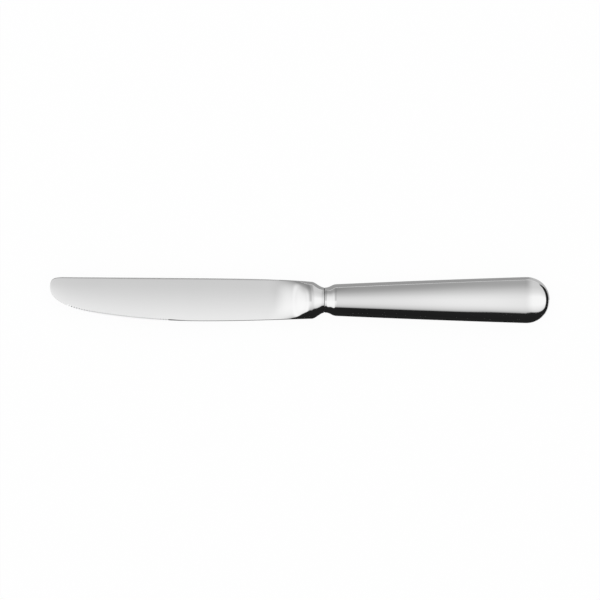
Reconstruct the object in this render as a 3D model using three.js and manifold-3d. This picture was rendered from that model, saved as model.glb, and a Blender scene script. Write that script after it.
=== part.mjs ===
// Dessert knife: a forged blade set into a hollow handle that is pressed in two halves.
// X runs from the tip to the butt, Y from the cutting edge to the spine, and Z is up.
// Every piece is modelled with x = 0 at the joint in the neck, where blade and handle meet.

import * as THREE from 'three';
import { mergeGeometries, mergeVertices } from 'three/addons/utils/BufferGeometryUtils.js';
import Module from 'manifold-3d';

const wasm = await Module();
wasm.setup();

// Blade, in millimetres

const bladeReach = 115.2;          // from the joint to the tip
const spineHeight = 9.64;          // spine above the knife's long axis
const edgeDepth = 9;               // cutting edge below the long axis
const tipHeight = 5.3;             // foremost point above the long axis
const tipCornerRun = 5.2;          // length of the round between spine and tip
const bellyRun = 65.2;             // length of the edge that sweeps up to the tip
const heelSpineThickness = 2.37;
const heelEdgeThickness = 0.72;    // of the ground flanks, before the bevel is cut
const tipSpineThickness = 1.7;
const spineRounding = 0.35;
const edgeLand = 0.12;             // flat left along the edge
const bevelTilt = THREE.MathUtils.degToRad(22);

// Teeth along the edge

const toothPitch = 1.1;
const toothDepth = 0.36;
const plainTip = 5.5;              // edge without teeth, measured round from the tip
const toothedRun = 80;             // edge with teeth

// Bolster and neck

const neckWidth = 10.54;
const neckThickness = 8.2;
const bolsterThickness = 9.2;
const bolsterGroove = 4.5;         // from the joint to the bolster's shoulder
const bolsterCrest = 5.7;          // from the joint to the bolster's thickest place
const rampStart = 21;              // from the joint to where the flanks start to swell
const restTurn = THREE.MathUtils.degToRad(20);  // angle of the flat strip that the knife lies on

// Handle

const handleReach = 94.7;          // from the joint to the butt
const handleFrontWidth = 13;       // of the taper, if it ran on to the joint
const handleRearWidth = 19.16;
const handleFrontThickness = 9.9;
const handleRearThickness = 10.9;
const handleBow = 0.2;             // bulge of the taper's width, half way along
const handleGroove = 4.83;         // from the joint to the handle's shoulder
const buttRun = 10.5;              // length of the rounded end
const shellWall = 0.9;
const seamThickness = 0.12;

// Tang, spigot and cement

const spigotReach = 3;
const tangReach = 46;
const tangRootWidth = 5.6;
const tangEndWidth = 4.2;
const tangThickness = 2.6;
const tangPoint = 2.5;             // length of the chamfers at the tang's end
const notchWidth = 2.6;
const notchDepth = 0.6;
const notchCount = 3;
const cementSleeve = 0.5;          // cement between the spigot and the shells
const cementCover = 5;             // cement beyond the tang's end
const castClearance = 0.15;
const jointGap = 0.14;             // cement line across the neck
const jointRecess = 0.12;          // how deep that line lies below the surface

// Control points of the rails, each a share of the length and of the height there

const spineShares = [[0, 0.727], [0.121, 0.947], [0.656, 1]];
const heelShares = [[0, 0.804], [0.307, 0.929], [0.593, 1]];
const bellyShares = [[0, 1], [0.248, 1], [0.51, 0.841], [0.723, 0.583], [0.848, 0.433], [1, 0.084]];
const tipCornerShares = [0.72, 0.81];

// Other shares of form

const rampLeadShares = [0.5, 0.14];
const buttPower = 2.1;             // 2 is a true ellipse, and more is fuller
const gulletShare = 0.82;          // of the pitch
const reliefShare = 0.3;           // most of a rib that a bevel or a round may take

// Counts of steps in the meshes

const neckSteps = 8;
const rampSteps = 13;
const bladeSteps = 22;
const tipSteps = 10;
const flankSteps = 17;             // odd, with the flat strip that the bolster lies on midway
const grooveSteps = 7;
const taperSteps = 11;
const buttSteps = 8;
const shellSteps = 17;             // odd, with the flat strip that the handle lies on midway
const rodSteps = 32;
const gulletSteps = 3;
const railDivisions = 2000;
const searchSteps = 40;

// Shared mathematics

const { lerp, smoothstep } = THREE.MathUtils;

// Parameter of a curve where it reaches the place x; the curve runs towards larger x.
function parameterAt(curve, x) {
  let low = 0;
  let high = 1;
  for (let step = 0; step < searchSteps; step += 1) {
    const middle = (low + high) / 2;
    if (curve.getPoint(middle).x < x) low = middle;
    else high = middle;
  }
  return (low + high) / 2;
}

// Angle of step k round half a section, with the flat strip that the knife lies on midway.
function sectionAngle(k, steps) {
  const before = (steps - 1) / 2;
  const turn = (Math.PI - restTurn) / 2;
  return k <= before ? turn * k / before : Math.PI - turn * (steps - k) / before;
}

// A closed solid over rings of points, each ring counter-clockwise as seen from the last one.
// Where a ring's points fall together, as at a tip, the flat triangles are left out.
function loft(rings) {
  const count = rings[0].length;
  const triangles = [];
  for (let i = 0; i + 1 < rings.length; i += 1) {
    for (let k = 0; k < count; k += 1) {
      const next = (k + 1) % count;
      triangles.push([rings[i][k], rings[i][next], rings[i + 1][next]]);
      triangles.push([rings[i][k], rings[i + 1][next], rings[i + 1][k]]);
    }
  }
  triangles.push(...ringCap(rings[0], -1));
  triangles.push(...ringCap(rings[rings.length - 1], 1));
  return solidOf(triangles);
}

// Flat end over one ring, facing +X or -X.
function ringCap(ring, facing) {
  const outline = ring.map((point) => new THREE.Vector2(point.y, point.z));
  if (Math.abs(THREE.ShapeUtils.area(outline)) < Number.EPSILON) return [];
  return THREE.ShapeUtils.triangulateShape(outline, []).map((corners) => {
    const turned = THREE.ShapeUtils.area(corners.map((corner) => outline[corner])) * facing < 0;
    return (turned ? corners.reverse() : corners).map((corner) => ring[corner]);
  });
}

function solidOf(triangles) {
  const merged = mergeVertices(new THREE.BufferGeometry().setFromPoints(triangles.flat()));
  const index = [];
  for (let i = 0; i < merged.index.count; i += 3) {
    const corners = [0, 1, 2].map((corner) => merged.index.getX(i + corner));
    if (new Set(corners).size === corners.length) index.push(...corners);
  }
  merged.setIndex(index);
  return merged;
}

// Booleans, on closed solids

function toManifold(geometry) {
  const bare = geometry.clone();
  bare.deleteAttribute('normal');
  bare.deleteAttribute('uv');
  const merged = mergeVertices(bare);
  return new wasm.Manifold(new wasm.Mesh({
    numProp: 3,
    vertProperties: new Float32Array(merged.attributes.position.array),
    triVerts: new Uint32Array(merged.index.array),
  }));
}

function toGeometry(manifold) {
  const mesh = manifold.getMesh();
  const geometry = new THREE.BufferGeometry();
  geometry.setAttribute('position', new THREE.BufferAttribute(mesh.vertProperties, mesh.numProp));
  geometry.setIndex(new THREE.BufferAttribute(mesh.triVerts, 1));
  return geometry;
}

// Rails of the blade, from the joint to the tip, before the neck is drawn in

const tipPoint = new THREE.Vector2(-bladeReach, tipHeight);

function railPoint([runShare, heightShare], start, run, height) {
  return new THREE.Vector2(-start - run * runShare, height * heightShare);
}

function rail(...curves) {
  const path = new THREE.CurvePath();
  for (const points of curves) path.add(new THREE.CubicBezierCurve(...points));
  path.arcLengthDivisions = railDivisions;
  return path;
}

function spineRail() {
  const spine = spineShares.map((shares) => railPoint(shares, 0, bladeReach, spineHeight));
  const corner = new THREE.Vector2(tipCornerRun - bladeReach, spineHeight);
  const [leaveShare, arriveShare] = tipCornerShares;
  return rail(
    [...spine, corner],
    [
      corner,
      new THREE.Vector2(corner.x - tipCornerRun * leaveShare, spineHeight),
      new THREE.Vector2(-bladeReach, lerp(tipHeight, spineHeight, arriveShare)),
      tipPoint,
    ],
  );
}

function edgeRail() {
  const heelRun = bladeReach - bellyRun;
  const heel = heelShares.map((shares) => railPoint(shares, 0, heelRun, -edgeDepth));
  const belly = bellyShares.map((shares) => railPoint(shares, heelRun, bellyRun, -edgeDepth));
  return rail(
    [...heel, belly[0]],
    belly.slice(0, 4),
    [...belly.slice(3), tipPoint],
  );
}

const spine = spineRail();
const edge = edgeRail();

// A rail's point, drawn in to the neck near the joint.
function drawnIn(point, side) {
  const open = smoothstep(-point.x, 0, bolsterGroove);
  return new THREE.Vector2(point.x, lerp(side * neckWidth / 2, point.y, open));
}

// Half the thickness of the ground flank: a plane that thins to the edge and to the tip.
function flankHalf(point) {
  const grind = (heelSpineThickness - heelEdgeThickness) / (spineHeight + edgeDepth);
  const taper = (heelSpineThickness - tipSpineThickness) / (bladeReach - rampStart);
  return (heelSpineThickness - taper * (-point.x - rampStart) - grind * (spineHeight - point.y)) / 2;
}

// Share of the bolster's full round section at a place: 0 on the blade and 1 from the crest on.
const rampRun = rampStart - bolsterCrest;
const ramp = new THREE.CubicBezierCurve(
  new THREE.Vector2(-rampStart, 0),
  new THREE.Vector2(-rampStart + rampRun * rampLeadShares[0], 0),
  new THREE.Vector2(-bolsterCrest - rampRun * rampLeadShares[1], 1),
  new THREE.Vector2(-bolsterCrest, 1),
);

function bolsterShare(x) {
  if (x <= -rampStart) return 0;
  if (x >= -bolsterCrest) return 1;
  return ramp.getPoint(parameterAt(ramp, x)).y;
}

// One rib: a closed ring from the spine over the upper flank to the edge and back below.
function rib(spinePoint, edgePoint) {
  const length = spinePoint.distanceTo(edgePoint);
  const relief = length * reliefShare;
  const rounding = Math.min(spineRounding, relief);
  const edgeHalf = flankHalf(edgePoint);
  const bevelRun = Math.min((edgeHalf - edgeLand / 2) / Math.tan(bevelTilt), relief);
  const swell = bolsterShare((spinePoint.x + edgePoint.x) / 2);
  const roundHalf = lerp(neckThickness, bolsterThickness, smoothstep(-edgePoint.x, 0, bolsterGroove)) / 2;
  const upper = [];
  for (let k = 0; k <= flankSteps; k += 1) {
    const angle = sectionAngle(k, flankSteps);
    const place = (1 + Math.cos(angle)) / 2;
    const fromEdge = bladePlace(k, place, length, rounding, bevelRun);
    const flat = edgePoint.clone().lerp(spinePoint, length > 0 ? fromEdge / length : 0);
    const round = edgePoint.clone().lerp(spinePoint, place);
    const height = lerp(
      bladeHeight(k, flankHalf(flat), rounding, edgeHalf - bevelRun * Math.tan(bevelTilt)),
      roundHalf * Math.sin(angle),
      swell,
    );
    const spot = flat.lerp(round, swell);
    upper.push(new THREE.Vector3(spot.x, spot.y, height));
  }
  const lower = upper.slice(1, -1).reverse();
  return [...upper, ...lower.map((point) => new THREE.Vector3(point.x, point.y, -point.z))];
}

// Distance from the edge of a rib's step k on the flat blade.
function bladePlace(k, place, length, rounding, bevelRun) {
  if (k <= 1) return length;
  if (k >= flankSteps - 1) return 0;
  const flat = length - rounding - bevelRun;
  const firstPlace = (1 + Math.cos(sectionAngle(2, flankSteps))) / 2;
  return bevelRun + flat * (place - 1 + firstPlace) / (2 * firstPlace - 1);
}

// Height of a rib's step k on the flat blade.
function bladeHeight(k, flank, rounding, edgeHeight) {
  if (k === 0 || k === flankSteps) return 0;
  if (k === 1) return flank - rounding;
  if (k === flankSteps - 1) return edgeHeight;
  return flank;
}

// Places of the ribs along both rails, as shares of their length, from the tip to the joint.
function ribPlaces() {
  const railLength = spine.getLength();
  const spans = [
    [bolsterGroove / railLength, neckSteps],
    [rampStart / railLength, rampSteps],
    [1 - 2 * tipCornerRun / railLength, bladeSteps],
    [1, tipSteps],
  ];
  const places = [0];
  for (const [end, steps] of spans) {
    const start = places[places.length - 1];
    for (let step = 1; step <= steps; step += 1) places.push(lerp(start, end, step / steps));
  }
  return places.reverse();
}

function bladeBody() {
  const rings = ribPlaces().map((place) => rib(
    drawnIn(spine.getPointAt(place), 1),
    drawnIn(edge.getPointAt(place), -1),
  ));
  return loft(rings);
}

// Round gullets between the teeth, each cut square through the edge
function gullets() {
  const width = toothPitch * gulletShare;
  const outline = new THREE.Shape();
  outline.moveTo(-width / 2, -toothDepth);
  outline.lineTo(width / 2, -toothDepth);
  outline.lineTo(width / 2, 0);
  outline.absellipse(0, 0, width / 2, toothDepth, 0, Math.PI);
  const cutter = new THREE.ExtrudeGeometry(outline, {
    depth: heelEdgeThickness * 2,
    bevelEnabled: false,
    curveSegments: gulletSteps,
  });
  cutter.translate(0, 0, -heelEdgeThickness);
  const length = edge.getLength();
  const cutters = [];
  for (let run = plainTip; run < plainTip + toothedRun; run += toothPitch) {
    const place = 1 - run / length;
    const point = edge.getPointAt(place);
    const along = edge.getTangentAt(place);
    const copy = cutter.clone();
    copy.rotateZ(Math.atan2(-along.y, -along.x));
    copy.translate(point.x, point.y, 0);
    cutters.push(copy);
  }
  return mergeGeometries(cutters);
}

// Rod of oval section along X, for the spigot and for its seat in the cement.
function ovalRod(from, to, halfWidth, halfThickness) {
  const rod = new THREE.CylinderGeometry(1, 1, 1, rodSteps);
  rod.rotateZ(Math.PI / 2);
  rod.scale(to - from, halfWidth, halfThickness);
  rod.translate((from + to) / 2, 0, 0);
  return rod;
}

// Flat tang with notches that key it into the cement, larger all round by grow.
function tangBar(grow) {
  const start = -spigotReach;
  const end = tangReach + grow;
  const halfAt = (x) => lerp(tangRootWidth, tangEndWidth, Math.max(x, 0) / tangReach) / 2 + grow;
  const side = [[start, halfAt(start)]];
  const notchPitch = (tangReach - spigotReach) / (notchCount + 1);
  for (let i = 1; i <= notchCount; i += 1) {
    const middle = spigotReach + notchPitch * i;
    const half = notchWidth / 2 - grow;
    const slope = notchDepth / 2;
    side.push([middle - half - slope, halfAt(middle - half - slope)]);
    side.push([middle - half, halfAt(middle) - notchDepth]);
    side.push([middle + half, halfAt(middle) - notchDepth]);
    side.push([middle + half + slope, halfAt(middle + half + slope)]);
  }
  side.push([end - tangPoint, halfAt(end - tangPoint)]);
  side.push([end, halfAt(end) - tangPoint / 2]);
  const below = side.map(([x, y]) => new THREE.Vector2(x, -y));
  const above = side.map(([x, y]) => new THREE.Vector2(x, y)).reverse();
  const bar = new THREE.ExtrudeGeometry(new THREE.Shape([...below, ...above]), {
    depth: tangThickness + 2 * grow,
    bevelEnabled: false,
  });
  bar.translate(0, 0, -tangThickness / 2 - grow);
  return bar;
}

const mouthInset = shellWall + 2 * castClearance + cementSleeve;
const spigotHalfWidth = neckWidth / 2 - mouthInset;
const spigotHalfThickness = neckThickness / 2 - mouthInset;

function blade() {
  const spigot = ovalRod(-spigotReach, spigotReach, spigotHalfWidth, spigotHalfThickness);
  return toGeometry(toManifold(bladeBody())
    .add(toManifold(spigot))
    .add(toManifold(tangBar(0)))
    .subtract(toManifold(gullets())));
}

// The handle's section at a station, drawn inwards by an inset

const buttStart = handleReach - buttRun;

function handleSection(x, buttShare, inset) {
  const taper = x / buttStart;
  const open = smoothstep(x, 0, handleGroove);
  const bow = 4 * handleBow * taper * (1 - taper);
  const width = lerp(handleFrontWidth, handleRearWidth, taper) + bow;
  const thickness = lerp(handleFrontThickness, handleRearThickness, taper);
  return {
    x,
    halfWidth: (lerp(neckWidth, width, open) / 2 - inset) * buttShare,
    halfThickness: (lerp(neckThickness, thickness, open) / 2 - inset) * buttShare,
  };
}

// Stations from the handle's mouth to its butt.
function handleStations(inset) {
  const stations = [];
  for (let i = 0; i <= grooveSteps; i += 1) {
    stations.push(handleSection(lerp(jointGap, handleGroove, i / grooveSteps), 1, inset));
  }
  for (let i = 1; i <= taperSteps; i += 1) {
    stations.push(handleSection(lerp(handleGroove, buttStart, i / taperSteps), 1, inset));
  }
  for (let i = 1; i <= buttSteps; i += 1) {
    const angle = Math.PI / 2 * i / buttSteps;
    const last = i === buttSteps;
    const advance = last ? 1 : Math.sin(angle) ** (2 / buttPower);
    const shrink = last ? 0 : Math.cos(angle) ** (2 / buttPower);
    stations.push(handleSection(buttStart + (buttRun - inset) * advance, shrink, inset));
  }
  return stations;
}

// Points over one half of a section, from the spine's side to the edge's side.
function halfSection({ x, halfWidth, halfThickness }, side) {
  const points = [];
  for (let k = 0; k <= shellSteps; k += 1) {
    const angle = sectionAngle(k, shellSteps);
    const rise = Math.max(halfThickness - seamThickness / 2, 0) * Math.sin(angle);
    const y = halfWidth * Math.cos(angle);
    points.push(new THREE.Vector3(x, y, side * (seamThickness / 2 + rise)));
  }
  return points;
}

// Pressed half shell; side is 1 for the upper one and -1 for the lower one.
function halfShell(side) {
  const outer = handleStations(0);
  const inner = handleStations(shellWall);
  return loft(outer.map((station, i) => {
    const ring = [...halfSection(station, side), ...halfSection(inner[i], side).reverse()];
    return side > 0 ? ring : ring.reverse();
  }));
}

// Strip of braze between the half shells, along both sides of the handle and round its butt
function seamBraze() {
  const outer = handleStations(0);
  const inner = handleStations(shellWall).reverse();
  const trace = (stations, side) => stations.map((station) => (
    new THREE.Vector2(station.x, side * station.halfWidth)));
  const strip = new THREE.ExtrudeGeometry(new THREE.Shape([
    ...trace(outer, -1),
    ...trace([...outer].reverse(), 1).slice(1),
    ...trace([...inner].reverse(), 1),
    ...trace(inner, -1).slice(1),
  ]), { depth: seamThickness, bevelEnabled: false });
  strip.translate(0, 0, -seamThickness / 2);
  return strip;
}

// Cast cement: a rim that fills the joint, and a plug round the spigot and the tang
function tangCement() {
  const end = tangReach + cementCover;
  const inset = shellWall + castClearance;
  const rim = handleSection(0, 1, jointRecess);
  const rings = [fullSection(rim), fullSection({ ...rim, x: jointGap })];
  for (const x of [...Array(grooveSteps + 1).keys()].map((i) => (
    lerp(jointGap, handleGroove, i / grooveSteps)))) {
    rings.push(fullSection(handleSection(x, 1, inset)));
  }
  rings.push(fullSection(handleSection(end, 1, inset)));
  const seat = ovalRod(
    -castClearance,
    spigotReach + castClearance,
    spigotHalfWidth + castClearance,
    spigotHalfThickness + castClearance,
  );
  return toGeometry(toManifold(loft(rings))
    .subtract(toManifold(seat))
    .subtract(toManifold(tangBar(castClearance))));
}

function fullSection({ x, halfWidth, halfThickness }) {
  const points = [];
  for (const halfTurn of [0, Math.PI]) {
    for (let k = 0; k < shellSteps; k += 1) {
      const angle = halfTurn + sectionAngle(k, shellSteps);
      points.push(new THREE.Vector3(x, halfWidth * Math.cos(angle), halfThickness * Math.sin(angle)));
    }
  }
  return points;
}

// Materials

const polishedSteel = { color: 0xdcdddd, roughness: 0.08, metalness: 1 };
const brightBraze = { color: 0xcfcabd, roughness: 0.3, metalness: 1 };
const greyCement = { color: 0x6f6a62, roughness: 0.9, metalness: 0 };

// Assembly

const knife = new THREE.Group();

function addPiece(name, geometry, finish) {
  const mesh = new THREE.Mesh(geometry, new THREE.MeshStandardMaterial(finish));
  mesh.name = name;
  knife.add(mesh);
}

addPiece('blade', blade(), polishedSteel);
addPiece('handle_shell_upper', halfShell(1), polishedSteel);
addPiece('handle_shell_lower', halfShell(-1), polishedSteel);
addPiece('seam_braze', seamBraze(), brightBraze);
addPiece('tang_cement', tangCement(), greyCement);

// The origin is set at the middle of the knife's box, on the surface that it rests on.
const box = new THREE.Box3().setFromObject(knife);
const middle = box.getCenter(new THREE.Vector3());
knife.position.set(-middle.x, -middle.y, -box.min.z);

export default knife;
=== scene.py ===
"""Dessert knife for its picture: a forged blade with a swelling bolster in a hollow handle."""

import math

import bpy
import numpy as np
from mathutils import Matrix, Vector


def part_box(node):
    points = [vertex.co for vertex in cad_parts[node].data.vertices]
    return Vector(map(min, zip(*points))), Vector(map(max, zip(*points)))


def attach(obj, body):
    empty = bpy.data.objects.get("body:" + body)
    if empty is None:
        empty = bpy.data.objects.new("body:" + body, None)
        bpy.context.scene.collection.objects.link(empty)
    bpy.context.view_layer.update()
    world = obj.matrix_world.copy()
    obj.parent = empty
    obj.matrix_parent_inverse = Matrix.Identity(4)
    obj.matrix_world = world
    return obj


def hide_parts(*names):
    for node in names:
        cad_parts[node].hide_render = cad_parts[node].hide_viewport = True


bl_info = {
    "name": "Dessert Knife",
    "version": (1, 0, 0),
    "blender": (4, 5, 0),
    "location": "View3D > Sidebar > Knife",
    "description": "Makes the pieces of a hollow-handle dessert knife and the studio round it",
    "category": "Object",
}

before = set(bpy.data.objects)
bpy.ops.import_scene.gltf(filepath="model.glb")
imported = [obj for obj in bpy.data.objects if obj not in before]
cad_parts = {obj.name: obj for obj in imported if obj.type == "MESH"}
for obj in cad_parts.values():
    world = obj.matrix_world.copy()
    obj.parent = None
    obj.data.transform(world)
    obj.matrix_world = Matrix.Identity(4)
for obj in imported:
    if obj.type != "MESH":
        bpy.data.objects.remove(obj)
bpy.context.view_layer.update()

MM = 0.001

# Places of the knife's axis and of the joint in its neck, from the frame

blade_low, blade_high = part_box("blade")
seam_low, seam_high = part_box("seam_braze")
cement_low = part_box("tang_cement")[0]
JOINT = np.array([
    cement_low.x,
    (seam_low.y + seam_high.y) / 2,
    (seam_low.z + seam_high.z) / 2,
])


# Sizes and colours that a user would change

def length(name, description, default):
    return bpy.props.FloatProperty(name=name, description=description, default=default,
                                   unit="LENGTH", precision=5)


def share(name, description, default):
    return bpy.props.FloatProperty(name=name, description=description, default=default,
                                   min=0, max=1, subtype="FACTOR")


def angle(name, description, degrees):
    return bpy.props.FloatProperty(name=name, description=description,
                                   default=math.radians(degrees), unit="ROTATION")


def tone(name, description, default):
    return bpy.props.StringProperty(name=name, description=description, default=default)


class DessertKnifeBlade(bpy.types.PropertyGroup):
    reach: length("Reach", "From the joint in the neck to the tip", JOINT[0] - blade_low.x)
    spine_height: length("Spine Height", "Spine above the long axis", blade_high.y - JOINT[1])
    edge_depth: length("Edge Depth", "Cutting edge below the long axis", 8.84 * MM)
    tip_height: length("Tip Height", "Foremost point above the long axis", 5.3 * MM)
    tip_corner_run: length("Tip Corner", "Length of the round from spine to tip", 5.2 * MM)
    belly_run: length("Belly", "Length of the edge that sweeps up to the tip", 65.2 * MM)
    spine_thickness: length("Spine Thickness", "Thickness where the blade is widest", 2.05 * MM)
    edge_thickness: length("Edge Thickness", "Thickness of the flanks before the bevel", 0.5 * MM)
    plain_thickness: length("Plain Edge", "Thickness before the bevel, without teeth", 0.3 * MM)
    teeth_fade: length("Teeth Fade", "Edge that thins out beyond the teeth", 9 * MM)
    tip_span: length("Tip Span", "Height below which the blade keeps its thickness", 15 * MM)
    tip_share: share("Tip Share", "Part of its thickness that the tip keeps", 0.4)
    spine_rounding: length("Spine Rounding", "Radius along the spine", 0.8 * MM)
    crown_share: share("Crown", "Bulge of a flank, as a share of its height", 0.0055)
    edge_land: length("Edge Land", "Flat left along the cutting edge", 0.1 * MM)
    bevel_tilt: angle("Bevel Tilt", "Slope of the bevel along the edge", 26)
    tooth_pitch: length("Tooth Pitch", "From one saw tooth to the next", 1.1 * MM)
    tooth_depth: length("Tooth Depth", "Depth of the gullets", 0.65 * MM)
    gullet_share: share("Gullet Width", "Width of a gullet, as a share of the pitch", 0.66)
    plain_tip: length("Plain Tip", "Edge without teeth next to the tip", 11.2 * MM)
    toothed_run: length("Toothed Edge", "Length of edge with teeth", 43 * MM)


class DessertKnifeNeck(bpy.types.PropertyGroup):
    width: length("Neck Width", "Width at the waist", 10.54 * MM)
    thickness: length("Neck Thickness", "Thickness at the waist", 8.4 * MM)
    waist: length("Waist", "From the joint to the narrowest place, on the handle", 0.26 * MM)
    bolster_thickness: length("Bolster Thickness", "Thickness at the crest", 10.2 * MM)
    groove: length("Groove", "From the joint to the bolster's shoulder", 5.25 * MM)
    crest: length("Crest", "From the joint to the bolster's thickest place", 4.95 * MM)
    crest_end: length("Crest End", "From the joint to where the crest falls to the neck", 5.55 * MM)
    collar_start: length("Collar Start", "From the joint to where the swell grows steep", 13.7 * MM)
    ramp_start: length("Ramp Start", "From the joint to where the flanks swell", 24 * MM)
    collar_share: share("Collar Share", "Share of the swell in its steep part", 0.55)
    lip: length("Lip", "Rounding of the steel on both sides of the joint", 0.3 * MM)


class DessertKnifeHandle(bpy.types.PropertyGroup):
    reach: length("Reach", "From the joint to the butt", seam_high.x - JOINT[0])
    mouth: length("Mouth", "From the joint to the mouth of the shells", seam_low.x - JOINT[0])
    front_width: length("Front Width", "Width of the taper, run on to the joint", 12.88 * MM)
    rear_width: length("Rear Width", "Width where the butt begins", 19.3 * MM)
    bow: length("Bow", "Bulge of the width half way along", 0.32 * MM)
    front_thickness: length("Front Thickness", "Thickness, run on to the joint", 11.2 * MM)
    rear_thickness: length("Rear Thickness", "Thickness where the butt begins", 11 * MM)
    groove: length("Groove", "From the joint to the handle's shoulder", 5.3 * MM)
    butt_run: length("Butt", "Length of the rounded end", 10.5 * MM)
    butt_power: bpy.props.FloatProperty(name="Butt Power", default=2.1,
                                        description="2 is a true ellipse, and more is fuller")
    wall: length("Wall", "Thickness of the pressed sheet", 0.9 * MM)
    seam: length("Seam", "Thickness of the braze between the shells", seam_high.z - seam_low.z)


class DessertKnifeTang(bpy.types.PropertyGroup):
    spigot_reach: length("Spigot", "From the joint to the spigot's end", 3 * MM)
    spigot_inset: length("Spigot Inset", "Neck's surface down to the spigot", 1.7 * MM)
    reach: length("Tang", "From the joint to the tang's end", 46 * MM)
    root_width: length("Root Width", "Width of the tang at the joint", 5.6 * MM)
    end_width: length("End Width", "Width of the tang at its end", 4.2 * MM)
    thickness: length("Tang Thickness", "Thickness of the tang", 2.6 * MM)
    point: length("Point", "Length of the chamfers at the end", 2.5 * MM)
    notch_width: length("Notch Width", "Floor of a notch, along the tang", 2.6 * MM)
    notch_depth: length("Notch Depth", "Depth of a notch", 0.6 * MM)
    notches: bpy.props.IntProperty(name="Notches", default=3,
                                   description="Notches on each side, keyed into the cement")


class DessertKnifeFinish(bpy.types.PropertyGroup):
    blade_steel: tone("Blade Steel", "Colour of the polished blade", "E6E6E6")
    handle_steel: tone("Handle Steel", "Colour of the polished handle", "E6E6E6")
    braze: tone("Braze", "Colour of the silver braze", "D8D4C9")
    cement: tone("Cement", "Colour of the cast cement", "1C1C1C")
    cement_grain: tone("Cement Grain", "Colour of the sand in the cement", "2E2D2C")
    line_gap: length("Line Gap", "Between the polishing lines", 0.6 * MM)
    blade_line_depth: length("Blade Lines", "Depth of the blade's polishing lines", 0.0008 * MM)
    handle_line_depth: length("Handle Lines", "Depth of the handle's polishing lines", 0.0005 * MM)
    blade_roughness: share("Blade Roughness", "Roughness of the buffed blade", 0.07)
    handle_roughness: share("Handle Roughness", "Roughness of the polished handle", 0.05)


class DessertKnifeStudio(bpy.types.PropertyGroup):
    frame_width: length("Frame Width", "What the picture takes in, across", 252.5 * MM)
    frame_shift: length("Frame Shift", "Middle of the picture, along the knife", 0.1 * MM)
    camera_height: length("Camera Height", "Camera above the floor", 3)
    tent_radius: length("Tent Radius", "Radius of the light tent", 1)
    floor_reach: length("Floor Reach", "Half of the floor's side", 6)
    floor_drop: length("Floor Drop", "Floor below the origin", 0.3 * MM)
    card_step: length("Card Step", "Height from one card in the pile to the next", 0.03 * MM)
    floor_colour: tone("Floor Colour", "Colour of the floor", "FAFAFA")


# Steps and limits of the meshes

NECK_STEPS = 26
COLLAR_STEPS = 28
RAMP_STEPS = 44
BLADE_STEPS = 110
TIP_STEPS = 44
SPINE_STEPS = 5
FLANK_STEPS = 44
BEVEL_STEPS = 2
HANDLE_STEPS = 240
ROUND_STEPS = 72
BUTT_SHARE = 0.3
CROWDING = 1.6                     # draws the handle's steps together towards the neck
RAIL_STEPS = 600
GULLET_SIDES = 16
CUTTER_REACH = 4                   # length of a gullet's cutter, in thicknesses of the edge
DOME_RINGS = 32
DOME_SECTORS = 96
STRAIGHT = 2                       # corners of a side that isn't divided
CREASE = math.radians(14)          # edges sharper than this stay sharp
RELIEF_SHARE = 0.6                 # most of a rib's size that a bevel or a round may take
PEAK = 4                           # brings the peak of t * (1 - t) up to 1
LIP_STEPS = 5
TIP_BEVEL_SHARE = 0.1              # the blunt tip keeps this part of the bevel
TINY = 1e-6

# Kinds of node that come up often, and the sockets of one that mixes colours

MATH = "ShaderNodeMath"
MAP_RANGE = "ShaderNodeMapRange"
MIX_FIRST = 6
MIX_SECOND = 7
MIX_COLOUR = 2

# Control points of the rails, each a share of the length and of the height there

SPINE_SHARES = ((0, 0.737), (0.15, 0.963), (0.35, 0.935))
HEEL_SHARES = ((0, 0.872), (0.307, 0.908), (0.593, 1))
BELLY_SHARES = ((0, 1), (0.278, 1), (0.51, 0.831), (0.723, 0.574), (0.848, 0.423), (1, 0.072))
TIP_CORNER_SHARES = (0.72, 0.81)

# Turns round a rib, in degrees, at which the flat blade's corners meet the round bolster

SPINE_SIDE_TURN = 10
SPINE_TURN = 20
BEVEL_TURN = 160
EDGE_TURN = 170


# Helpers

def linear(hex_colour):
    """Linear colour of an sRGB hex value."""
    values = [int(hex_colour[i:i + 2], 16) / 255 for i in (0, 2, 4)]
    return [v / 12.92 if v <= 0.04045 else ((v + 0.055) / 1.055) ** 2.4 for v in values] + [1]


def add_node(tree, kind, inputs=None, **settings):
    """Adds a node with its settings, links or sets its inputs, and gives its first output."""
    node = tree.nodes.new(kind)
    for name, value in settings.items():
        setattr(node, name, value)
    for key, value in (inputs or {}).items():
        if isinstance(value, bpy.types.NodeSocket):
            tree.links.new(value, node.inputs[key])
        else:
            node.inputs[key].default_value = value
    return node.outputs[0] if node.outputs else node


def add_sockets(tree, way, kind, *names):
    for name in names:
        tree.interface.new_socket(name, in_out=way, socket_type="NodeSocket" + kind)


def smoothstep(value, start, end):
    t = np.clip((value - start) / (end - start), 0, 1)
    return t * t * (3 - 2 * t)


def soft_step(value, start, end):
    """Like smoothstep, and its curvature starts and ends at 0 too."""
    t = np.clip((value - start) / (end - start), 0, 1)
    return t * t * t * (t * (6 * t - 15) + 10)


def mix(a, b, t):
    return a + (b - a) * t


def new_object(name, points, faces):
    mesh = bpy.data.meshes.new(name)
    mesh.from_pydata([tuple(point) for point in points], [], [tuple(face) for face in faces])
    piece = bpy.data.objects.new(name, mesh)
    bpy.context.scene.collection.objects.link(piece)
    return piece


def set_inputs(modifier, **values):
    """Sets a geometry nodes modifier's inputs through the identifiers of their sockets."""
    sockets = {
        item.name: item.identifier
        for item in modifier.node_group.interface.items_tree
        if item.item_type == "SOCKET" and item.in_out == "INPUT"
    }
    for name, value in values.items():
        modifier[sockets[name.replace("_", " ").title()]] = value


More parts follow.
